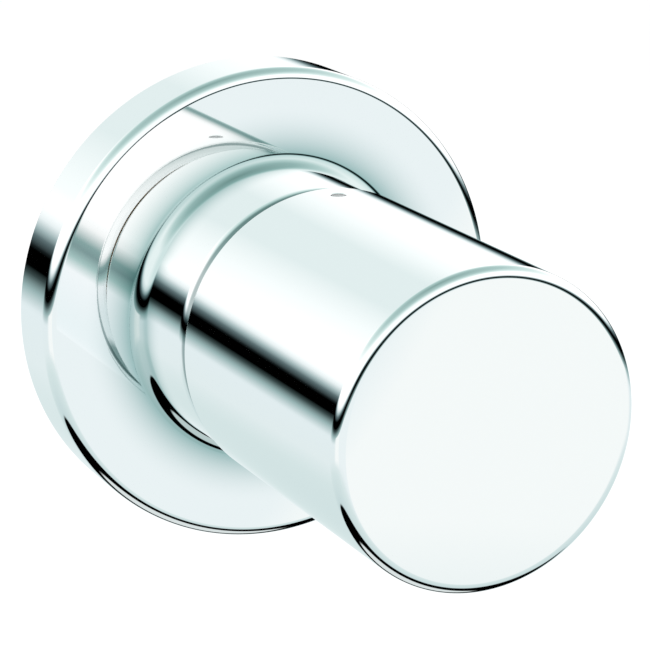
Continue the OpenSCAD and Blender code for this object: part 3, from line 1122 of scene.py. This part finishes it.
BACKDROP = (1.0, 1.0, 1.0)
WHITE = (1.22, 1.22, 1.22)
BLACK = (0.0, 0.0, 0.0)
UNDERNEATH = (0.74, 0.80, 0.80)
BAND_EDGE = (0.34, 0.49, 0.49)
MIRRORED_FLOOR = (0.90, 0.98, 1.00)


@dataclass(frozen=True)
class Tone:
    """Tone of the studio at an elevation in degrees, as the polished chrome shows it."""

    elevation: float
    color: Color


class SkyGraph(NodeGraph):
    """Node tree of the surroundings, with the parts of the direction that a ray leaves in."""

    def __init__(self, tree: bpy.types.NodeTree) -> None:
        """Empties the tree and works out the direction's parts.

        Args:
            tree: The world's node tree.
        """
        super().__init__(tree)
        way = self.add("ShaderNodeTexCoord").outputs["Generated"]
        self.right, self.behind, up = self.add("ShaderNodeSeparateXYZ", {0: way}).outputs
        self.ahead = self.math("MULTIPLY", self.behind, -1.0)
        self.rise = self.degrees(self.math("ARCSINE", up))

    def degrees(self, angle: Socket) -> Socket:
        """Turns an angle in radians into degrees."""
        return self.math("MULTIPLY", angle, 180.0 / math.pi)

    def toned(self, rise: Socket, tones: Sequence[Tone]) -> Socket:
        """Reads the tone at an elevation.

        Args:
            rise: The elevation in degrees.
            tones: The tones to read, from the lowest to the highest.

        Returns:
            The tone's colour.
        """
        low, high = tones[0].elevation, tones[-1].elevation
        stops = [((tone.elevation - low) / (high - low), tone.color) for tone in tones]
        return self.ramp(self.spread(rise, (low, high)), stops)


@dataclass(frozen=True)
class Lamp:
    """Round soft lamp: where it stands, and its power in watts."""

    name: str
    place: tuple[float, float, float]
    power: float


@dataclass(frozen=True)
class Studio:
    """Camera, lamps, floor, and the surroundings that the chrome mirrors.

    The surroundings are white above the horizon and greyer overhead. Just under the horizon they have a
    dark band with soft edges, then a pale floor with a dark ring round the object's foot. Only reflections
    show them: the camera sees white. Mirrored a second time, in the escutcheon's face, they show paler.
    """

    azimuth: float = -25.56
    elevation: float = 16.14
    distance: float = 329.1 * MM
    target: tuple[float, float, float] = (-4.4 * MM, -35.0 * MM, 4.6 * MM)
    picture_px: int = 650
    focal_px: float = 2594.0
    sensor: float = 36.0
    floor_z: float = -0.15
    floor_size: float = 8.0
    floor_color: Color = (0.9, 0.9, 0.9)
    floor_glow: float = 1.06
    floor_glow_share: float = 0.85
    soft_light: Color = (0.8, 0.8, 0.8)
    twice_mirrored: float = 2.5
    lean: float = 2.2
    lean_right: Span = (0.05, 0.45)
    lean_behind: Span = (0.0, 0.3)
    ceiling: Color = (0.80, 0.90, 0.90)
    ceiling_aside: Span = (9.0, 32.0)
    ceiling_rise: Span = (5.0, 12.0)
    ceiling_behind: Span = (-0.2, 0.2)
    ceiling_share: Span = (0.45, 1.0)
    front_floor: Color = (0.87, 0.94, 0.955)
    front_glow: Color = (0.965, 1.0, 0.995)
    front_ahead: Span = (0.2, 0.5)
    front_top: Span = (-10.3, -9.5)
    front_bottom: Span = (-24.0, -20.5)
    front_glow_ahead: Span = (0.848, 0.856)
    lamps: tuple[Lamp, ...] = (
        Lamp("lamp_left", (-0.5, -0.5, 0.6), 3.2),
        Lamp("lamp_right", (0.6, -0.3, 0.5), 1.8),
        Lamp("lamp_back", (0.2, 0.6, 0.4), 2.2),
    )
    lamp_size: float = 0.5
    lamp_target: tuple[float, float, float] = (0.0, -30.0 * MM, 0.0)
    tones: tuple[Tone, ...] = (
        Tone(-90.0, UNDERNEATH),
        Tone(-67.0, UNDERNEATH),
        Tone(-65.0, BLACK),
        Tone(-45.0, BLACK),
        Tone(-43.5, (0.60, 0.73, 0.74)),
        Tone(-28.0, (0.69, 0.81, 0.81)),
        Tone(-22.0, (0.79, 0.88, 0.89)),
        Tone(-12.9, (0.80, 0.89, 0.91)),
        Tone(-9.3, BAND_EDGE),
        Tone(-6.6, (0.05, 0.08, 0.08)),
        Tone(-5.0, BLACK),
        Tone(-0.9, BLACK),
        Tone(1.3, (0.10, 0.15, 0.16)),
        Tone(3.0, (0.39, 0.51, 0.52)),
        Tone(5.0, (0.88, 0.95, 0.96)),
        Tone(8.0, WHITE),
        Tone(28.0, WHITE),
        Tone(42.0, (0.70, 0.86, 0.84)),
        Tone(56.0, (0.44, 0.62, 0.60)),
        Tone(90.0, (0.24, 0.39, 0.37)),
    )
    mirrored_tones: tuple[Tone, ...] = (
        Tone(-90.0, MIRRORED_FLOOR),
        Tone(-66.0, MIRRORED_FLOOR),
        Tone(-62.0, (0.30, 0.42, 0.42)),
        Tone(-49.0, (0.30, 0.42, 0.42)),
        Tone(-42.0, MIRRORED_FLOOR),
        Tone(-26.0, MIRRORED_FLOOR),
        Tone(-12.0, (0.99, 1.03, 1.05)),
        Tone(-7.5, (0.41, 0.60, 0.58)),
        Tone(-3.5, (0.22, 0.34, 0.34)),
        Tone(-0.6, (0.26, 0.41, 0.40)),
        Tone(5.0, (1.03, 1.04, 1.04)),
        Tone(9.0, (1.16, 1.16, 1.16)),
        Tone(30.0, (1.16, 1.16, 1.16)),
        Tone(90.0, (0.70, 0.78, 0.77)),
    )

    def build(self) -> None:
        """Makes the studio."""
        scene = bpy.context.scene
        scene.view_settings.view_transform = "Standard"
        scene.camera = self.camera()
        scene.world = self.world()
        self.floor()
        self.light()

    def sight(self) -> Vector:
        """Returns the direction in which the camera looks."""
        azimuth, elevation = math.radians(self.azimuth), math.radians(self.elevation)
        level = math.cos(elevation)
        return Vector((-math.sin(azimuth) * level, math.cos(azimuth) * level, -math.sin(elevation)))

    def camera(self) -> bpy.types.Object:
        """Makes the camera at the photograph's viewing angle.

        Returns:
            The camera.
        """
        data = bpy.data.cameras.new("camera")
        data.sensor_width = self.sensor
        data.lens = self.sensor * self.focal_px / self.picture_px
        camera = linked("camera", data)
        camera.location = Vector(self.target) - self.sight() * self.distance
        camera.rotation_euler = self.sight().to_track_quat("-Z", "Y").to_euler()
        return camera

    def world(self) -> bpy.types.World:
        """Makes the surroundings: white for the camera, even for soft light, and in tones for reflections.

        Returns:
            The world.
        """
        world = bpy.data.worlds.new("studio")
        world.use_nodes = True
        sky = SkyGraph(world.node_tree)
        tones = sky.toned(self._leaning(sky), self.tones)
        tones = self._front_sector(sky, self._middle_sector(sky, tones))
        rays = sky.add("ShaderNodeLightPath").outputs
        again = sky.math("GREATER_THAN", rays["Ray Depth"], self.twice_mirrored)
        tones = sky.mix(again, tones, sky.toned(sky.rise, self.mirrored_tones))
        mirrored = sky.math("MAXIMUM", rays["Is Glossy Ray"], rays["Is Transmission Ray"])
        soft = sky.mix(mirrored, rgba(self.soft_light), tones)
        color = sky.mix(rays["Is Camera Ray"], soft, rgba(BACKDROP))
        backdrop = sky.add("ShaderNodeBackground", {"Color": color, "Strength": 1.0})
        sky.add("ShaderNodeOutputWorld", {"Surface": backdrop.outputs[0]})
        return world

    def _leaning(self, sky: SkyGraph) -> Socket:
        """Lowers the horizon behind the object's right side.

        Args:
            sky: The world's node graph.

        Returns:
            The elevation to read tones at.
        """
        right = sky.spread(sky.right, self.lean_right, (0.0, self.lean))
        behind = sky.spread(sky.behind, self.lean_behind)
        return sky.math("ADD", sky.rise, sky.math("MULTIPLY", right, behind))

    def _middle_sector(self, sky: SkyGraph, tones: Socket) -> Socket:
        """Dims the white straight behind the object, and less so in front of it.

        Args:
            sky: The world's node graph.
            tones: The tones so far.

        Returns:
            The new tones.
        """
        side, depth = (sky.math("ABSOLUTE", part) for part in (sky.right, sky.behind))
        share = sky.spread(sky.degrees(sky.math("ARCTAN2", side, depth)), self.ceiling_aside, FADING)
        height = sky.spread(sky.rise, self.ceiling_rise)
        strength = sky.spread(sky.behind, self.ceiling_behind, self.ceiling_share)
        share = sky.math("MULTIPLY", sky.math("MULTIPLY", share, height), strength)
        return sky.mix(share, tones, rgba(self.ceiling), "DARKEN")

    def _front_sector(self, sky: SkyGraph, tones: Socket) -> Socket:
        """Brightens the pale floor in front of the object.

        Args:
            sky: The world's node graph.
            tones: The tones so far.

        Returns:
            The new tones.
        """
        share = sky.spread(sky.ahead, self.front_ahead)
        below = sky.spread(sky.rise, self.front_top, FADING)
        above = sky.spread(sky.rise, self.front_bottom)
        near = sky.spread(sky.ahead, self.front_glow_ahead, FADING)
        bright = sky.mix(near, rgba(self.front_floor), rgba(self.front_glow))
        share = sky.math("MULTIPLY", share, sky.math("MULTIPLY", below, above))
        return sky.mix(share, tones, bright)

    def floor(self) -> None:
        """Makes the pale floor, which shows white and keeps the object's shadow."""
        half = self.floor_size / 2.0
        mesh = bpy.data.meshes.new("floor")
        mesh.from_pydata([(-half, -half, self.floor_z), (half, -half, self.floor_z),
                          (half, half, self.floor_z), (-half, half, self.floor_z)], [], [(0, 1, 2, 3)])
        material = bpy.data.materials.new("floor_pale")
        material.use_nodes = True
        graph = NodeGraph(material.node_tree)
        matt = graph.add("ShaderNodeBsdfDiffuse", {"Color": rgba(self.floor_color)})
        plain = graph.add("ShaderNodeEmission", {"Color": rgba(BACKDROP), "Strength": self.floor_glow})
        rays = graph.add("ShaderNodeLightPath").outputs
        shown = graph.math("MAXIMUM", graph.math("MAXIMUM", rays["Is Camera Ray"], rays["Is Glossy Ray"]),
                           rays["Is Transmission Ray"])
        share = graph.math("MULTIPLY", shown, self.floor_glow_share)
        mixed = graph.add("ShaderNodeMixShader", {0: share, 1: matt.outputs[0], 2: plain.outputs[0]})
        graph.add("ShaderNodeOutputMaterial", {"Surface": mixed.outputs[0]})
        mesh.materials.append(material)
        floor = linked("floor", mesh)
        floor.visible_glossy = False

    def light(self) -> None:
        """Makes the lamps, which light the pieces that aren't polished and stay out of reflections."""
        for lamp in self.lamps:
            data = bpy.data.lights.new(lamp.name, "AREA")
            data.shape = "DISK"
            data.size = self.lamp_size
            data.energy = lamp.power
            stand = linked(lamp.name, data)
            stand.location = lamp.place
            sight = Vector(self.lamp_target) - Vector(lamp.place)
            stand.rotation_euler = sight.to_track_quat("-Z", "Y").to_euler()
            stand.visible_glossy = False


def main() -> None:
    """Builds the looks of both sets and the studio around them."""
    logging.basicConfig(level=logging.INFO, format="%(message)s")
    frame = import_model()
    EscutcheonSet(PieceMaker(frame, Body.ESCUTCHEON)).build()
    HandleSet(PieceMaker(frame, Body.HANDLE)).build()
    Studio().build()


if __name__ == "__main__":
    main()
